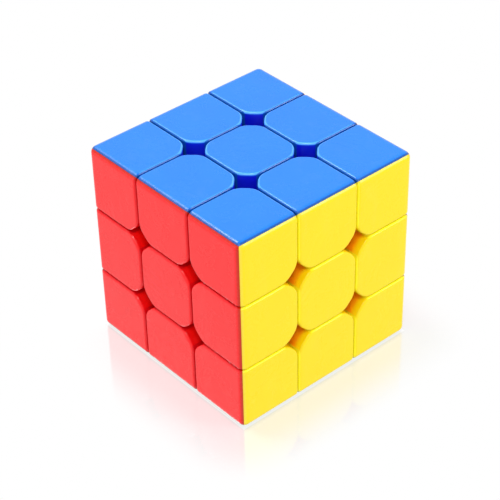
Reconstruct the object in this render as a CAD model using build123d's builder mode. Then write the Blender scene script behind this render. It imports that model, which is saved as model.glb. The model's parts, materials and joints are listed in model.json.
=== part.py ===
"""Three-by-three twisty puzzle cube, stickerless, as the separate moulded and metal pieces it is built from.

Frame: origin at the centre of the core, where the six turning axes meet. +Z up (blue face), -Y front (red face),
+X right (yellow face), +Y back (orange face), -X left (white face), -Z bottom (green face). Millimetres.

How it works. Outside a sphere of radius mechanism_r the cube is cut into blocks by planes at +-groove_at. Inside that
sphere it is cut by planes at +-foot_cut, nearer the core, so every block carries a foot wider than itself that hooks
under its neighbours. All the running surfaces are planes square to a turning axis, or spheres about the core, so a
layer turns without meeting the rest. The six centres ride on the core's arms and are pulled inwards by springs.
"""
import os
from math import sqrt

from build123d import *

os.makedirs("parts", exist_ok=True)

# ---------------------------------------------------------------- driving dimensions
side = 56.0  # outside, face to face
half = side / 2
groove_at = 9.6  # mid-plane of the grooves between the layers
groove_half = 0.24  # half the groove's width
low = groove_at + groove_half  # inner side wall of an outer-layer block
mid = groove_at - groove_half  # side wall of a middle-layer block
hole_leg = 3.45  # how far the cut-away inner corners reach along a side
hole_blend = 4.2  # radius that blends the cut into the sides
edge_r = 1.8  # rounding of the cube's outer edges
rim_r = 0.62  # rounding of each face's rim at the grooves
wall = 1.5  # moulded wall thickness
seam = 0.02  # each side of a seam between two colour shells

mechanism_r = 23.5  # sphere that the feet turn under
run = 0.15  # clearance each side of a running surface
foot_cut = 6.4  # mid-plane of the cuts between the feet
foot_inner_r = 19.0  # inside of a corner foot
tongue_inner_r = 15.0  # inside of an edge foot
block_r = mechanism_r + run
foot_r = mechanism_r - run
floor_r = block_r + wall

corner_neck_r = 3.2
corner_head_r = 3.8
edge_neck_r = 3.9
edge_head_r = 5.4
neck_gap = 0.08
head_from, head_to = floor_r - 0.1, floor_r + 1.3  # the head that clamps the shells, along the stalk

core_r = 6.1
arm_r = 3.2
arm_end = 11.8
hub_r = 5.9  # outside of a centre's tube
hub_from = 6.35
hub_bore_r = 3.26
shelf_from, shelf_to = 11.9, 13.3  # spring seat inside the tube
shelf_hole_r = 1.55
chamber_r = 3.6
base_top = 25.9
cap_from = 25.94
cap_ring_r, cap_ring_wall, cap_ring_depth = 7.0, 1.2, 1.1

screw_r = 1.25
screw_head_r = 2.6
screw_tip = 4.4
screw_head_from, screw_head_to = 19.5, 21.3
washer_r, washer_hole_r, washer_t = 3.2, 1.4, 0.5
wire_r = 0.29
spring_r = 2.3
spring_from, spring_to = shelf_to, screw_head_from - washer_t

# ---------------------------------------------------------------- outlines


def cut_away(leg, blend):
    """The part cut off a square corner at the origin: a 45 degree cut, blended into both sides."""
    out = 2.0
    t = blend * (sqrt(2) - 1)
    k = blend * (1 - sqrt(0.5))
    with BuildSketch() as s:
        with BuildLine():
            if blend:
                RadiusArc((0, leg + t), (k, leg + t - blend * sqrt(0.5)), -blend)
                Line((k, leg + t - blend * sqrt(0.5)), (leg + t - blend * sqrt(0.5), k))
                RadiusArc((leg + t - blend * sqrt(0.5), k), (leg + t, 0), -blend)
            else:
                Line((0, leg), (leg, 0))
            Polyline((leg + t, 0), (leg + t, -out), (-out, -out), (-out, leg + t), (0, leg + t))
        make_face()
    return s.sketch


inner_leg = hole_leg - (2 - sqrt(2)) * wall
outer_cut = cut_away(hole_leg, hole_blend)
inner_cut = cut_away(inner_leg, 0)
with BuildSketch() as above_diagonal:
    with BuildLine():
        off = seam * sqrt(2)
        Polyline((4, 4 + off), (40, 40 + off), (4, 40 + off), close=True)
    make_face()
mitre = above_diagonal.sketch
from_behind = Plane(origin=(0, 0, 0), x_dir=(-1, 0, 0), z_dir=(0, 1, 0))


def on_rim(e):
    """True for an edge where the outside faces of a block meet its side walls."""
    c = sorted(e @ 0.5)
    at_wall = abs(c[0] - low) < 0.01 or (c[0] - low) + (c[1] - low) < hole_leg + 0.6
    return at_wall and c[2] > half - edge_r - 0.01


# ---------------------------------------------------------------- corner pieces
diagonal = Plane(origin=(0, 0, 0), x_dir=(1, -1, 0), z_dir=(1, 1, 1))

with BuildPart() as corner_block:
    with Locations((low, low, low)):
        Box(half - low, half - low, half - low, align=(Align.MIN, Align.MIN, Align.MIN))
    for plane in (Plane.XY, Plane.YZ, Plane.ZX):
        with BuildSketch(plane):
            with Locations((low, low)):
                add(outer_cut)
        extrude(amount=half + 1, mode=Mode.SUBTRACT)
    outer = [
        corner_block.edges().filter_by(d).sort_by(Axis((0, 0, 0), v))[-1]
        for d, v in ((Axis.X, (0, 1, 1)), (Axis.Y, (1, 0, 1)), (Axis.Z, (1, 1, 0)))
    ]
    fillet(outer, edge_r)
    fillet([e for e in corner_block.edges() if on_rim(e)], rim_r)

with BuildPart() as corner_hollow:
    with Locations((low + wall, low + wall, low + wall)):
        Box(*[half - low - 2 * wall] * 3, align=(Align.MIN, Align.MIN, Align.MIN))
    for plane in (Plane.XY, Plane.YZ, Plane.ZX):
        with BuildSketch(plane):
            with Locations((low + wall, low + wall)):
                add(inner_cut)
        extrude(amount=half + 1, mode=Mode.SUBTRACT)
    Sphere(floor_r, mode=Mode.SUBTRACT)

with BuildPart() as corner_shell:
    add(corner_block.part)
    Sphere(block_r, mode=Mode.SUBTRACT)
    add(corner_hollow.part, mode=Mode.SUBTRACT)
    with BuildSketch(diagonal):
        Circle(corner_neck_r + neck_gap)
    extrude(amount=floor_r + 1, mode=Mode.SUBTRACT)
    for plane in (Plane(origin=(0, 40, 0), x_dir=(1, 0, 0), z_dir=(0, -1, 0)), Plane.YZ):
        with BuildSketch(plane):
            add(mitre)
        extrude(amount=40, mode=Mode.INTERSECT)

with BuildPart() as corner_foot:
    with Locations([(foot_cut + run,) * 3]):
        Box(foot_r, foot_r, foot_r, align=(Align.MIN, Align.MIN, Align.MIN))
    Sphere(foot_r, mode=Mode.INTERSECT)
    Sphere(foot_inner_r, mode=Mode.SUBTRACT)
    with BuildSketch(diagonal.offset(foot_inner_r + 1.5)):
        Circle(corner_neck_r)
    extrude(amount=head_to - foot_inner_r - 1.5)
    with BuildSketch(diagonal.offset(head_from)):
        Circle(corner_head_r)
    extrude(amount=head_to - head_from)

# ---------------------------------------------------------------- edge pieces
edge_axis = Plane(origin=(0, 0, 0), x_dir=(1, 0, 0), z_dir=(0, 1, 1))


def on_edge_rim(e):
    x, y, z = e @ 0.5
    at_wall = (
        abs(abs(x) - mid) < 0.01
        or min(y, z) < low + 0.01
        or (mid - abs(x)) + (min(y, z) - low) < hole_leg + 0.6
    )
    return at_wall and max(y, z) > half - edge_r - 0.01


with BuildPart() as edge_block:
    with Locations((0, low, low)):
        Box(2 * mid, half - low, half - low, align=(Align.CENTER, Align.MIN, Align.MIN))
    for plane in (Plane.XY, from_behind):
        with BuildSketch(plane):
            with Locations(Location((-mid, low)), Location((mid, low), 90)):
                add(outer_cut)
        extrude(amount=half + 1, mode=Mode.SUBTRACT)
    fillet(edge_block.edges().filter_by(Axis.X).sort_by(Axis((0, 0, 0), (0, 1, 1)))[-1], edge_r)
    fillet([e for e in edge_block.edges() if on_edge_rim(e)], rim_r)

with BuildPart() as edge_hollow:
    with Locations((0, low + wall, low + wall)):
        Box(
            2 * (mid - wall),
            half - low - 2 * wall,
            half - low - 2 * wall,
            align=(Align.CENTER, Align.MIN, Align.MIN),
        )
    for plane in (Plane.XY, from_behind):
        with BuildSketch(plane):
            with Locations(Location((-(mid - wall), low + wall)), Location((mid - wall, low + wall), 90)):
                add(inner_cut)
        extrude(amount=half + 1, mode=Mode.SUBTRACT)
    Sphere(floor_r, mode=Mode.SUBTRACT)

with BuildPart() as edge_shell:
    add(edge_block.part)
    Sphere(block_r, mode=Mode.SUBTRACT)
    add(edge_hollow.part, mode=Mode.SUBTRACT)
    with BuildSketch(edge_axis):
        Circle(edge_neck_r + neck_gap)
    extrude(amount=floor_r + 1, mode=Mode.SUBTRACT)
    with BuildSketch(Plane.YZ.offset(-20)):
        add(mitre)
    extrude(amount=40, mode=Mode.INTERSECT)

with BuildPart() as edge_foot:
    with Locations((0, foot_cut + run, foot_cut + run)):
        Box(2 * (foot_cut - run), foot_r, foot_r, align=(Align.CENTER, Align.MIN, Align.MIN))
    Sphere(foot_r, mode=Mode.INTERSECT)
    Sphere(tongue_inner_r, mode=Mode.SUBTRACT)
    with BuildSketch(edge_axis.offset(foot_inner_r)):
        Circle(edge_neck_r)
    extrude(amount=head_to - foot_inner_r)
    with BuildSketch(edge_axis.offset(head_from)):
        Circle(edge_head_r)
    extrude(amount=head_to - head_from)

# ---------------------------------------------------------------- centre pieces
with BuildPart() as centre_cap:
    with Locations((0, 0, cap_from)):
        Box(2 * mid, 2 * mid, half - cap_from, align=(Align.CENTER, Align.CENTER, Align.MIN))
    with BuildSketch(Plane.XY):
        with PolarLocations(mid * sqrt(2), 4, start_angle=45):
            with Locations(Location((0, 0), 135)):
                add(outer_cut)
    extrude(amount=half + 1, mode=Mode.SUBTRACT)
    fillet(centre_cap.faces().sort_by(Axis.Z)[-1].edges(), rim_r)
    with BuildSketch(Plane.XY.offset(cap_from - cap_ring_depth)):
        Circle(cap_ring_r - 0.05)
        Circle(cap_ring_r - cap_ring_wall, mode=Mode.SUBTRACT)
    extrude(amount=cap_ring_depth + 0.2)

with BuildPart() as centre_base:
    with Locations((0, 0, groove_at)):
        Box(2 * mid, 2 * mid, base_top - groove_at, align=(Align.CENTER, Align.CENTER, Align.MIN))
    with BuildSketch(Plane.XY):
        with PolarLocations(mid * sqrt(2), 4, start_angle=45):
            with Locations(Location((0, 0), 135)):
                add(outer_cut)
    extrude(amount=half + 1, mode=Mode.SUBTRACT)
    Sphere(block_r, rotation=(90, 0, 0), mode=Mode.SUBTRACT)
    with BuildSketch(Plane.XY.offset(hub_from)):
        Circle(hub_r)
    extrude(amount=block_r + 0.6 - hub_from)
    with BuildSketch(Plane.XY.offset(hub_from)):
        Circle(hub_bore_r)
    extrude(amount=shelf_from - hub_from, mode=Mode.SUBTRACT)
    with BuildSketch(Plane.XY.offset(hub_from)):
        Circle(shelf_hole_r)
    extrude(amount=base_top, mode=Mode.SUBTRACT)
    with BuildSketch(Plane.XY.offset(shelf_to)):
        Circle(chamber_r)
    extrude(amount=base_top, mode=Mode.SUBTRACT)
    with BuildSketch(Plane.XY.offset(cap_from - cap_ring_depth - 0.1)):
        Circle(cap_ring_r)
        Circle(cap_ring_r - cap_ring_wall - 0.05, mode=Mode.SUBTRACT)
    extrude(amount=cap_ring_depth + 1, mode=Mode.SUBTRACT)

# ---------------------------------------------------------------- core and hardware
with BuildPart() as core_spindle:
    Sphere(core_r)
    for n in ((1, 0, 0), (-1, 0, 0), (0, 1, 0), (0, -1, 0), (0, 0, 1), (0, 0, -1)):
        with BuildSketch(Plane(origin=(0, 0, 0), z_dir=n)):
            Circle(arm_r)
        extrude(amount=arm_end)
    ends = core_spindle.edges().filter_by(GeomType.CIRCLE).filter_by(
        lambda e: abs(max(abs(v) for v in e.arc_center) - arm_end) < 0.01
    )
    chamfer(ends, 0.4)
    for n in ((1, 0, 0), (-1, 0, 0), (0, 1, 0), (0, -1, 0), (0, 0, 1), (0, 0, -1)):
        with BuildSketch(Plane(origin=Vector(*n) * (screw_tip - 0.2), z_dir=n)):
            Circle(screw_r + 0.02)
        extrude(amount=arm_end, mode=Mode.SUBTRACT)

with BuildPart() as screw:
    with BuildSketch(Plane.XY.offset(screw_tip)):
        Circle(screw_r)
    extrude(amount=screw_head_from - screw_tip)
    chamfer(screw.edges().sort_by(Axis.Z)[0], 0.5)
    with BuildSketch(Plane.XY.offset(screw_head_from)):
        Circle(screw_head_r)
    extrude(amount=screw_head_to - screw_head_from)
    fillet(screw.edges().sort_by(Axis.Z)[-1], 0.6)
    with BuildSketch(Plane.XY.offset(screw_head_to - 1.1)):
        Rectangle(3.0, 0.7)
        Rectangle(0.7, 3.0)
    extrude(amount=1.2, mode=Mode.SUBTRACT)

with BuildPart() as washer:
    with BuildSketch(Plane.XY.offset(screw_head_from - washer_t)):
        Circle(washer_r)
        Circle(washer_hole_r, mode=Mode.SUBTRACT)
    extrude(amount=washer_t)

with BuildPart() as spring:
    with BuildLine() as coil:
        Helix(
            pitch=(spring_to - spring_from - 2 * wire_r - 0.04) / 5.0,
            height=spring_to - spring_from - 2 * wire_r - 0.04,
            radius=spring_r,
            center=(0, 0, spring_from + wire_r + 0.02),
        )
    with BuildSketch(Plane(origin=coil.line @ 0, z_dir=coil.line % 0)):
        Circle(wire_r)
    sweep(path=coil.line)

# ---------------------------------------------------------------- where each piece goes
faces_of = {
    "top": (0, 0, 1),
    "bottom": (0, 0, -1),
    "front": (0, -1, 0),
    "back": (0, 1, 0),
    "left": (-1, 0, 0),
    "right": (1, 0, 0),
}
sides = ("front", "back", "left", "right")


def placed(piece, x_dir, z_dir):
    return piece.part.moved(Plane(origin=(0, 0, 0), x_dir=x_dir, z_dir=z_dir).location)


def place_corner(piece, face, others):
    """Puts the +X+Y+Z corner's piece at the corner of these three faces, its Z side outward at `face`."""
    n, p, q = (Vector(*faces_of[f]) for f in (face, *others))
    x = p if (p.cross(q) - n).length < 1e-6 else q
    return placed(piece, x, n)


def place_edge(piece, face, other):
    """Puts the +Y+Z edge's piece between these two faces, its Z side outward at `face`."""
    n, m = Vector(*faces_of[face]), Vector(*faces_of[other])
    return placed(piece, m.cross(n), n)


def place_axis(piece, face):
    n = Vector(*faces_of[face])
    x = Vector(1, 0, 0) if abs(n.X) < 0.5 else Vector(0, 1, 0)
    return placed(piece, x, n)


def write(node, solids):
    made = solids[0] if len(solids) == 1 else Compound(children=list(solids))
    made.label = node
    export_step(made, f"parts/{node}.step")


core_spindle.part.label = "core_spindle"
export_step(core_spindle.part, "parts/core_spindle.step")
write("tension_screws", [place_axis(screw, f) for f in faces_of])
write("screw_washers", [place_axis(washer, f) for f in faces_of])

for f in faces_of:
    write(f"{f}_spring", [place_axis(spring, f)])
    write(f"{f}_centre_cap", [place_axis(centre_cap, f)])
    write(f"{f}_centre_base", [place_axis(centre_base, f)])

corner_sides = [("front", "left"), ("front", "right"), ("back", "left"), ("back", "right")]
for layer in ("top", "bottom"):
    # the four identical shells of the layer's own colour share a node, for corners and for edges
    write(f"{layer}_corner_{layer}_shells", [place_corner(corner_shell, layer, c) for c in corner_sides])
    write(f"{layer}_edge_{layer}_shells", [place_edge(edge_shell, layer, s) for s in sides])
    write(f"{layer}_corner_feet", [place_corner(corner_foot, layer, c) for c in corner_sides])
    write(f"{layer}_edge_feet", [place_edge(edge_foot, layer, s) for s in sides])
    for a, b in corner_sides:
        write(f"{layer}_{a}_{b}_corner_{a}_shell", [place_corner(corner_shell, a, (layer, b))])
        write(f"{layer}_{a}_{b}_corner_{b}_shell", [place_corner(corner_shell, b, (layer, a))])
    for s in sides:
        write(f"{layer}_{s}_edge_{s}_shell", [place_edge(edge_shell, s, layer)])

# the middle layer's edges: the two identical shells at each side face share a node
for s in sides:
    beside = ("left", "right") if s in ("front", "back") else ("front", "back")
    write(f"middle_edge_{s}_shells", [place_edge(edge_shell, s, b) for b in beside])
write("middle_edge_feet", [place_edge(edge_foot, a, b) for a, b in corner_sides])
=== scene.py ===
"""Looks of a stickerless three-by-three twisty puzzle cube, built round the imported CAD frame."""

import json
import math

import bmesh
import bpy
from mathutils import Matrix, Vector


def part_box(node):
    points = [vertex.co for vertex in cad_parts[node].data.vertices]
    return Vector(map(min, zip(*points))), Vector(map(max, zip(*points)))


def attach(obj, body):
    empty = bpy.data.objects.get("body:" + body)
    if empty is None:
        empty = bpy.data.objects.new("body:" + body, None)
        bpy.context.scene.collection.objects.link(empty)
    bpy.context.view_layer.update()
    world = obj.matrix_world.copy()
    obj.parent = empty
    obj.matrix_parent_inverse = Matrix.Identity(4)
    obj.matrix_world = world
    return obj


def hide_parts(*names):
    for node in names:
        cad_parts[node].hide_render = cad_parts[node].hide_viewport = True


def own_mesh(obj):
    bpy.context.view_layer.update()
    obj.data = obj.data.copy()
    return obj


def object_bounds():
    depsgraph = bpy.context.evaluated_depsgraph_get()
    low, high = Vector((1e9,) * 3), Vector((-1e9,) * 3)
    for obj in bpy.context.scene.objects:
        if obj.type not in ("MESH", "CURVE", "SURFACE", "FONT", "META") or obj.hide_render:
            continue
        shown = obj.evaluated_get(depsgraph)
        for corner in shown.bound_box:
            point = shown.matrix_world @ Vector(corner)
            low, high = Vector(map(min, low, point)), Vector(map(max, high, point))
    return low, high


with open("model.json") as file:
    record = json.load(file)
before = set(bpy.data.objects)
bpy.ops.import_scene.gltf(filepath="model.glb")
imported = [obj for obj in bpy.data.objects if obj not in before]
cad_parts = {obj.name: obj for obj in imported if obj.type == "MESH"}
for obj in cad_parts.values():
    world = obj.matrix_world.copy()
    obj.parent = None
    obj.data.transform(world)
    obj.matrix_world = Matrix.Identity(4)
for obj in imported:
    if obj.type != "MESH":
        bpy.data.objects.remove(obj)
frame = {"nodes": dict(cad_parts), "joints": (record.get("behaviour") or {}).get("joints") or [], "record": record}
cad_box = [list(v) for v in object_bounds()]
scene = bpy.context.scene
nodes = frame["nodes"]
low, high = (Vector(v) for v in cad_box)
side = high.z - low.z
half = side / 2
groove_at = 0.0096  # mid-plane of the grooves between the layers


# ---------------------------------------------------------------- node helpers
class Tree:
    """Adds shader nodes and links in one line each."""

    def __init__(self, name):
        self.mat = bpy.data.materials.new(name)
        self.mat.use_nodes = True
        self.t = self.mat.node_tree
        self.bsdf = self.t.nodes["Principled BSDF"]
        self.coord = self.t.nodes.new("ShaderNodeTexCoord").outputs["Object"]

    def put(self, socket, value):
        if isinstance(value, bpy.types.NodeSocket):
            self.t.links.new(value, socket)
        elif value is not None:
            socket.default_value = value

    def math(self, op, a, b=None, c=None, clamp=False):
        n = self.t.nodes.new("ShaderNodeMath")
        n.operation, n.use_clamp = op, clamp
        for i, v in enumerate((a, b, c)):
            self.put(n.inputs[i], v)
        return n.outputs[0]

    def spread(self, value, a, b, to_a=0.0, to_b=1.0, smooth=True):
        n = self.t.nodes.new("ShaderNodeMapRange")
        n.interpolation_type = "SMOOTHSTEP" if smooth else "LINEAR"
        for s, v in zip(("Value", "From Min", "From Max", "To Min", "To Max"), (value, a, b, to_a, to_b)):
            self.put(n.inputs[s], v)
        return n.outputs[0]

    def noise(self, scale, detail=3.0, rough=0.5, at=None, distortion=0.0):
        n = self.t.nodes.new("ShaderNodeTexNoise")
        self.put(n.inputs["Vector"], at or self.coord)
        n.inputs["Scale"].default_value = scale
        n.inputs["Detail"].default_value = detail
        n.inputs["Roughness"].default_value = rough
        n.inputs["Distortion"].default_value = distortion
        return n.outputs["Fac"]

    def mix(self, factor, a, b, blend="MIX"):
        n = self.t.nodes.new("ShaderNodeMix")
        n.data_type, n.blend_type = "RGBA", blend
        self.put(n.inputs[0], factor)
        self.put(n.inputs[6], a)
        self.put(n.inputs[7], b)
        return n.outputs[2]

    def stretch(self, x, y, z):
        n = self.t.nodes.new("ShaderNodeMapping")
        self.put(n.inputs["Vector"], self.coord)
        n.inputs["Scale"].default_value = (x, y, z)
        return n.outputs[0]

    def bump(self, height, strength, distance, normal=None):
        n = self.t.nodes.new("ShaderNodeBump")
        n.inputs["Strength"].default_value = strength
        n.inputs["Distance"].default_value = distance
        self.put(n.inputs["Height"], height)
        self.put(n.inputs["Normal"], normal)
        return n.outputs[0]


def colour(r, g, b):
    return (r, g, b, 1.0)


def toward(c, d, k):
    return tuple(x + (y - x) * k for x, y in zip(c[:3], d[:3])) + (1.0,)


# ---------------------------------------------------------------- moulded colour plastic
def moulded(name, face, deep_shade, roughness=0.26, wall=(0.0003, 0.0020), seam_and_shade=(0.75, None, 0.0006), lip_and_highlight=(0.0, (1, 1, 1)), groove_tone_painted=(0.80, None, 0.00036), gloss=0.40, rubbed_and_sheen=0.22, wall_top_painted_light=(0.0, (1, 1, 1))):
    """Glossy dyed plastic: finely grained from the mould, a little uneven in tone, rubbed along its outer rims, with
    painted shade down the walls, grooves and seams, painted highlights on the rims and painted light on the wall tops.
    """
    t = Tree(name)
    ab = t.t.nodes.new("ShaderNodeVectorMath")
    ab.operation = "ABSOLUTE"
    t.put(ab.inputs[0], t.coord)
    xyz = t.t.nodes.new("ShaderNodeSeparateXYZ")
    t.put(xyz.inputs[0], ab.outputs[0])
    x, y, z = xyz.outputs
    outermost = t.math("MAXIMUM", t.math("MAXIMUM", x, y), z)
    innermost = t.math("MINIMUM", t.math("MINIMUM", x, y), z)
    middle = t.math("SUBTRACT", t.math("SUBTRACT", t.math("ADD", t.math("ADD", x, y), z), outermost), innermost)
    to_groove = t.math(
        "MINIMUM",
        t.math("ABSOLUTE", t.math("SUBTRACT", middle, groove_at)),
        t.math("ABSOLUTE", t.math("SUBTRACT", innermost, groove_at)),
    )
    # colour of the painted shade in grooves and seams where none is given
    shade = toward(deep_shade, (0, 0, 0), 0.55)[:3]

    # painted shade down the walls between the pieces, with the dye's deeper colour there
    depth = t.spread(outermost, half - wall[0], half - wall[1])
    tone = t.mix(depth, colour(*face), colour(*deep_shade))
    # painted light on the thin top of the walls between the pieces
    painted_wall_top_mask = t.math("MULTIPLY", t.spread(outermost, half - 0.0003, half - 0.0008), t.spread(outermost, half - 0.0029, half - 0.0009), clamp=True)
    tone = t.mix(t.math("MULTIPLY", painted_wall_top_mask, wall_top_painted_light[0]), tone, colour(*wall_top_painted_light[1]))
    # uneven dye, and a faint flow pattern from the mould's gate
    cloud = t.noise(70.0, 2.0)
    flow = t.noise(260.0, 3.0, 0.6, at=t.stretch(1.0, 1.0, 0.25), distortion=1.4)
    tone = t.mix(t.spread(cloud, 0.35, 0.65, 0.0, 0.12), tone, toward(face, deep_shade, 0.30))
    tone = t.mix(t.spread(flow, 0.50, 0.72, 0.0, 0.03), tone, toward(face, (1, 1, 1), 0.25))
    # handled rims: duller along the cube's outer edges from wear, and paler there from wear and a painted highlight
    rim = t.spread(middle, half - 0.0017, half - 0.0004)
    chafe_and_sheen = t.math("MULTIPLY", rim, t.spread(t.noise(1500.0, 4.0, 0.65), 0.42, 0.68), clamp=True)
    tone = t.mix(t.math("MULTIPLY", chafe_and_sheen, rubbed_and_sheen), tone, toward(face, (1, 1, 1), 0.5))
    # rims of the grooves and holes, polished paler by turning, with a painted highlight on top
    worn_and_highlit = t.math("MULTIPLY", t.spread(outermost, half, half - 0.00006), t.spread(outermost, half - 0.00060, half - 0.00034))
    worn_and_highlit = t.math("MULTIPLY", worn_and_highlit, t.spread(middle, half - 0.0017, half - 0.0022), clamp=True)
    tone = t.mix(t.math("MULTIPLY", worn_and_highlit, lip_and_highlight[0]), tone, colour(*lip_and_highlight[1]))
    # painted shade down the narrow grooves; on the yellow a paler painted tone that lifts the shaded gap
    painted_groove_shade = t.math("MULTIPLY", t.spread(to_groove, groove_tone_painted[2], groove_tone_painted[2] + 0.00014, 1.0, 0.0), t.spread(outermost, half - 0.00004, half - 0.00016))
    tone = t.mix(t.math("MULTIPLY", painted_groove_shade, groove_tone_painted[0]), tone, colour(*(groove_tone_painted[1] or shade)))
    # the dark seam where two shells of different colour meet along an outer edge, widened into a band of painted shade
    seam_painted_shade_mask = t.spread(t.math("SUBTRACT", outermost, middle), seam_and_shade[2] * 0.5, seam_and_shade[2] * 1.3, 1.0, 0.0)
    seam_painted_shade_mask = t.math("MULTIPLY", seam_painted_shade_mask, t.spread(middle, half - 0.0022, half - 0.0015), clamp=True)
    tone = t.mix(t.math("MULTIPLY", seam_painted_shade_mask, seam_and_shade[0]), tone, colour(*(seam_and_shade[1] or shade)))
    t.put(t.bsdf.inputs["Base Color"], tone)

    # smudges from fingers, finest grain, rubbed rims
    smudge = t.noise(120.0, 5.0, 0.62, distortion=0.8)
    grain = t.noise(5200.0, 2.0)
    rough = t.spread(smudge, 0.38, 0.70, roughness - 0.03, roughness + 0.05)
    rough = t.math("ADD", rough, t.spread(grain, 0.3, 0.7, -0.02, 0.02))
    rough = t.math("ADD", rough, t.math("MULTIPLY", chafe_and_sheen, 0.16))
    rough = t.math("ADD", rough, t.math("MULTIPLY", depth, 0.08), clamp=True)
    t.put(t.bsdf.inputs["Roughness"], rough)

    # grain of the mould, hairline scratches and the slow waviness of a thin moulded wall
    hair = t.noise(900.0, 2.0, 0.5, at=t.stretch(1.0, 0.06, 1.0), distortion=0.3)
    hair = t.math("MULTIPLY", t.spread(hair, 0.66, 0.74), -1.0)
    n = t.bump(t.noise(55.0, 1.0), 0.010, 0.0010)
    n = t.bump(grain, 0.06, 0.00002, n)
    n = t.bump(hair, 0.015, 0.00002, n)
    t.put(t.bsdf.inputs["Normal"], n)
    t.bsdf.inputs["IOR"].default_value = 1.49
    t.bsdf.inputs["Specular IOR Level"].default_value = gloss
    return t.mat


def charcoal(name):
    """Unpainted dark nylon of the hidden running pieces: satin, with fine grain, pale flecks and patchy roughness."""
    t = Tree(name)
    cloud = t.noise(180.0, 4.0, 0.6)
    tone = t.mix(t.spread(cloud, 0.3, 0.7), colour(0.018, 0.018, 0.020), colour(0.034, 0.034, 0.037))
    fleck = t.noise(2600.0, 2.0)
    tone = t.mix(t.spread(fleck, 0.62, 0.72, 0.0, 0.35), tone, colour(0.075, 0.075, 0.080))
    t.put(t.bsdf.inputs["Base Color"], tone)
    t.put(t.bsdf.inputs["Roughness"], t.spread(t.noise(300.0, 4.0, 0.6), 0.3, 0.7, 0.36, 0.58))
    t.put(t.bsdf.inputs["Normal"], t.bump(t.noise(3400.0, 3.0), 0.25, 0.00003))
    t.bsdf.inputs["IOR"].default_value = 1.53
    return t.mat


def metal(name, base, stretch, roughness):
    """Bright metal with fine drawn or turned lines and a few duller patches."""
    t = Tree(name)
    lines = t.noise(2200.0, 3.0, 0.6, at=t.stretch(*stretch))
    patches = t.noise(500.0, 3.0)
    tone = t.mix(t.spread(patches, 0.4, 0.7), colour(*base), toward(base, (0.20, 0.19, 0.18), 0.35))
    t.put(t.bsdf.inputs["Base Color"], t.mix(t.spread(lines, 0.35, 0.65, 0.0, 0.25), tone, toward(base, (0, 0, 0), 0.4)))
    t.put(t.bsdf.inputs["Roughness"], t.spread(lines, 0.3, 0.7, roughness - 0.06, roughness + 0.10))
    t.put(t.bsdf.inputs["Normal"], t.bump(lines, 0.2, 0.00002))
    t.bsdf.inputs["Metallic"].default_value = 1.0
    return t.mat


# moulded plastics per colour: face and deep-wall colours, painted shade down walls, seams and grooves, painted rim
# highlights and, on the yellow, painted light on the wall tops
finishes = {
    "blue_plastic": moulded("blue_plastic", (0.008, 0.181, 0.760), (0.004, 0.003, 0.660), wall=(0.00025, 0.0009), seam_and_shade=(0.85, (0.002, 0.060, 0.240), 0.0009), lip_and_highlight=(0.36, (0.20, 0.70, 1.0)), groove_tone_painted=(0.90, (0.001, 0.085, 0.420), 0.00050), gloss=0.43, rubbed_and_sheen=0.06),
    "red_plastic": moulded("red_plastic", (0.785, 0.005, 0.007), (0.920, 0.003, 0.002), wall=(0.0003, 0.0022), seam_and_shade=(0.92, (0.480, 0.012, 0.000), 0.0010), groove_tone_painted=(0.85, (0.640, 0.003, 0.008), 0.00060), gloss=0.36, rubbed_and_sheen=0.05),
    "yellow_plastic": moulded("yellow_plastic", (0.790, 0.600, 0.001), (1.000, 0.350, 0.001), wall=(0.0004, 0.0030), seam_and_shade=(0.50, (0.720, 0.600, 0.060), 0.0010), groove_tone_painted=(0.95, (0.900, 0.820, 0.020), 0.00042), gloss=0.28, rubbed_and_sheen=0.05, wall_top_painted_light=(0.9, (0.960, 0.700, 0.002))),
    "green_plastic": moulded("green_plastic", (0.005, 0.370, 0.062), (0.002, 0.240, 0.018), wall=(0.00025, 0.0012), seam_and_shade=(0.80, (0.002, 0.060, 0.012), 0.0009), groove_tone_painted=(0.85, (0.001, 0.110, 0.015), 0.00042)),
    "orange_plastic": moulded("orange_plastic", (0.785, 0.170, 0.003), (0.920, 0.060, 0.001), wall=(0.0003, 0.0022), seam_and_shade=(0.85, (0.300, 0.020, 0.001), 0.0010), groove_tone_painted=(0.85, (0.520, 0.040, 0.002), 0.00046)),
    "white_plastic": moulded("white_plastic", (0.720, 0.725, 0.730), (0.600, 0.600, 0.585), wall=(0.0004, 0.0026), seam_and_shade=(0.60, (0.240, 0.240, 0.240), 0.0007), groove_tone_painted=(0.60, (0.300, 0.300, 0.300), 0.00030)),
    "core_plastic": charcoal("core_plastic"),
    "steel": metal("steel", (0.60, 0.60, 0.61), (1.0, 1.0, 0.08), 0.26),
    "spring_steel": metal("spring_steel", (0.52, 0.52, 0.54), (0.2, 0.2, 1.0), 0.22),
}
slot_of = {s["node"]: s["material_slot"] for s in frame["record"]["subparts"]}
for name, o in nodes.items():
    finish = finishes[slot_of[name]]
    if not o.material_slots:
        o.data.materials.append(finish)
    for s in o.material_slots:
        s.material = finish


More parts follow.
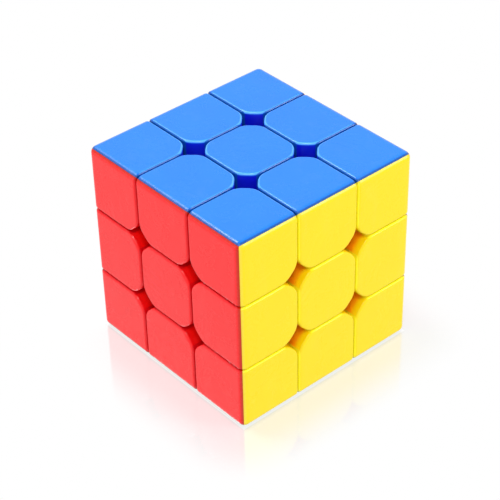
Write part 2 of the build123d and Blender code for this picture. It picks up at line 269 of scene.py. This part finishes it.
# ---------------------------------------------------------------- coil springs along the centres' slide joints
def spring_mesh(name, centre_r, wire, z0, z1, turns, out):
    """A compression spring with closed ends, along the direction `out`, from z0 to z1 outward of the core."""
    steps, ring = int(turns * 28), 10
    bm = bmesh.new()
    a, b = z0 + wire, z1 - wire
    end = 0.75 / turns  # share of the length wound flat at each end
    rings = []
    for i in range(steps + 1):
        s = i / steps
        if s < end:
            z = a + 2.0 * wire * s / end * 0.9
        elif s > 1 - end:
            z = b - 2.0 * wire * (1 - s) / end * 0.9
        else:
            k = (s - end) / (1 - 2 * end)
            z = a + 1.8 * wire + (b - a - 3.6 * wire) * k
        q = 2 * math.pi * turns * s
        mid = Vector((centre_r * math.cos(q), centre_r * math.sin(q), z))
        radial = Vector((math.cos(q), math.sin(q), 0))
        row = []
        for j in range(ring):
            p = 2 * math.pi * j / ring
            row.append(bm.verts.new(mid + radial * (wire * math.cos(p)) + Vector((0, 0, wire * math.sin(p)))))
        rings.append(row)
    for r0, r1 in zip(rings, rings[1:]):
        for j in range(ring):
            bm.faces.new((r0[j], r0[(j + 1) % ring], r1[(j + 1) % ring], r1[j]))
    bm.faces.new(list(reversed(rings[0])))
    bm.faces.new(rings[-1])
    bmesh.ops.recalc_face_normals(bm, faces=bm.faces)
    for f in bm.faces:
        f.smooth = True
    turn = Vector((0, 0, 1)).rotation_difference(Vector(out)).to_matrix().to_4x4()
    bmesh.ops.transform(bm, matrix=turn, verts=bm.verts)
    me = bpy.data.meshes.new(name)
    bm.to_mesh(me)
    bm.free()
    o = bpy.data.objects.new(name, me)
    scene.collection.objects.link(o)
    return o


for joint in frame["joints"]:
    if joint["type"] != "slide":
        continue
    face = joint["name"].split("_")[0]
    out = Vector(joint["axis"])
    lo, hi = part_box(f"{face}_spring")
    along = [abs(c) > 0.5 for c in out].index(True)
    reach = sorted((abs(lo[along]), abs(hi[along])))
    across = (along + 1) % 3
    outer = max(abs(lo[across]), abs(hi[across]))
    coil = spring_mesh(f"{face}_coil", outer - 0.00029, 0.00029, reach[0], reach[1], 6.5, out)
    coil.data.materials.append(finishes["spring_steel"])
    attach(coil, "core")
    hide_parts(f"{face}_spring")
    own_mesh(coil)

# ---------------------------------------------------------------- floor
floor_mesh = bpy.data.meshes.new("floor")
bm = bmesh.new()
bmesh.ops.create_grid(bm, x_segments=1, y_segments=1, size=3.0)
bm.to_mesh(floor_mesh)
bm.free()
floor = bpy.data.objects.new("floor", floor_mesh)
floor.location = (0, 0, low.z - 0.00005)
scene.collection.objects.link(floor)
# plain white sheet, glossy just round the object and matt farther out
t = Tree("floor")
t.bsdf.inputs["Base Color"].default_value = (0.30, 0.30, 0.30, 1)
t.bsdf.inputs["Roughness"].default_value = 0.08
t.bsdf.inputs["IOR"].default_value = 2.8
t.bsdf.inputs["Emission Color"].default_value = (1, 1, 1, 1)
t.bsdf.inputs["Emission Strength"].default_value = 0.47
place = t.t.nodes.new("ShaderNodeSeparateXYZ")
t.put(place.inputs[0], t.coord)
beside = [t.math("MAXIMUM", t.math("SUBTRACT", t.math("ABSOLUTE", place.outputs[i]), half), 0.0) for i in (0, 1)]
away = t.math("SQRT", t.math("ADD", t.math("MULTIPLY", beside[0], beside[0]), t.math("MULTIPLY", beside[1], beside[1])))
matt = t.t.nodes.new("ShaderNodeEmission")
blend = t.t.nodes.new("ShaderNodeMixShader")
# and matt where the bottom edge rests
under = t.math("MAXIMUM", t.math("ABSOLUTE", place.outputs[0]), t.math("ABSOLUTE", place.outputs[1]))
under = t.spread(under, half - 0.0003, half + 0.0001, 0.58, 0.0)
t.put(blend.inputs[0], t.math("MAXIMUM", t.spread(away, 0.0035, 0.0185), under))
t.put(blend.inputs[1], t.bsdf.outputs[0])
t.put(blend.inputs[2], matt.outputs[0])
t.put(t.t.nodes["Material Output"].inputs["Surface"], blend.outputs[0])
floor_mesh.materials.append(t.mat)

# ---------------------------------------------------------------- light
world = bpy.data.worlds.new("studio")
scene.world = world
world.use_nodes = True
# a white tent, dimmer overhead
wt = world.node_tree
direction = wt.nodes.new("ShaderNodeSeparateXYZ")
wt.links.new(wt.nodes.new("ShaderNodeTexCoord").outputs["Generated"], direction.inputs[0])
tent = wt.nodes.new("ShaderNodeMapRange")
tent.interpolation_type = "SMOOTHSTEP"
for key, value in (("From Min", 0.72), ("From Max", 0.92), ("To Min", 0.93), ("To Max", 0.16)):
    tent.inputs[key].default_value = value
wt.links.new(direction.outputs["Z"], tent.inputs["Value"])
wt.links.new(tent.outputs[0], wt.nodes["Background"].inputs["Strength"])
wt.nodes["Background"].inputs["Color"].default_value = (1, 1, 1, 1)


def softbox(name, at, size, power, tint=(1, 1, 1)):
    data = bpy.data.lights.new(name, "AREA")
    data.shape = "RECTANGLE"
    data.size, data.size_y = size
    data.energy = power
    data.color = tint
    o = bpy.data.objects.new(name, data)
    o.location = at
    o.rotation_euler = (Vector((0, 0, 0)) - Vector(at)).to_track_quat("-Z", "Y").to_euler()
    scene.collection.objects.link(o)
    return o


softbox("key_left", (-0.37, -0.13, 0.70), (0.26, 0.26), 3.6)
softbox("key_front", (0.36, -0.31, 0.64), (0.20, 0.20), 2.4)
softbox("key_right", (0.60, 0.42, 0.30), (0.22, 0.22), 2.2)
softbox("fill_left", (-0.25, -0.75, 0.14), (0.40, 0.40), 1.0)

# ---------------------------------------------------------------- camera
az, el, roll = math.radians(49.4662), math.radians(37.0675), math.radians(-1.4192)
distance, focal, shift_r, shift_u = 0.415263, 1642.572, 0.000442, 0.002257
back = Vector((math.sin(az) * math.cos(el), -math.cos(az) * math.cos(el), math.sin(el)))
right = Vector((math.cos(az), math.sin(az), 0))
up = back.cross(right)
right, up = right * math.cos(roll) + up * math.sin(roll), up * math.cos(roll) - right * math.sin(roll)
cam = bpy.data.cameras.new("camera")
cam.sensor_width = 36.0
cam.lens = focal / 500 * 36.0
cam.clip_start, cam.clip_end = 0.01, 50.0
camera = bpy.data.objects.new("camera", cam)
m = Matrix((right, up, back)).transposed().to_4x4()
m.translation = back * distance - right * shift_r - up * shift_u
camera.matrix_world = m
scene.collection.objects.link(camera)
scene.camera = camera

scene.view_settings.view_transform = "Standard"
scene.view_settings.look = "None"
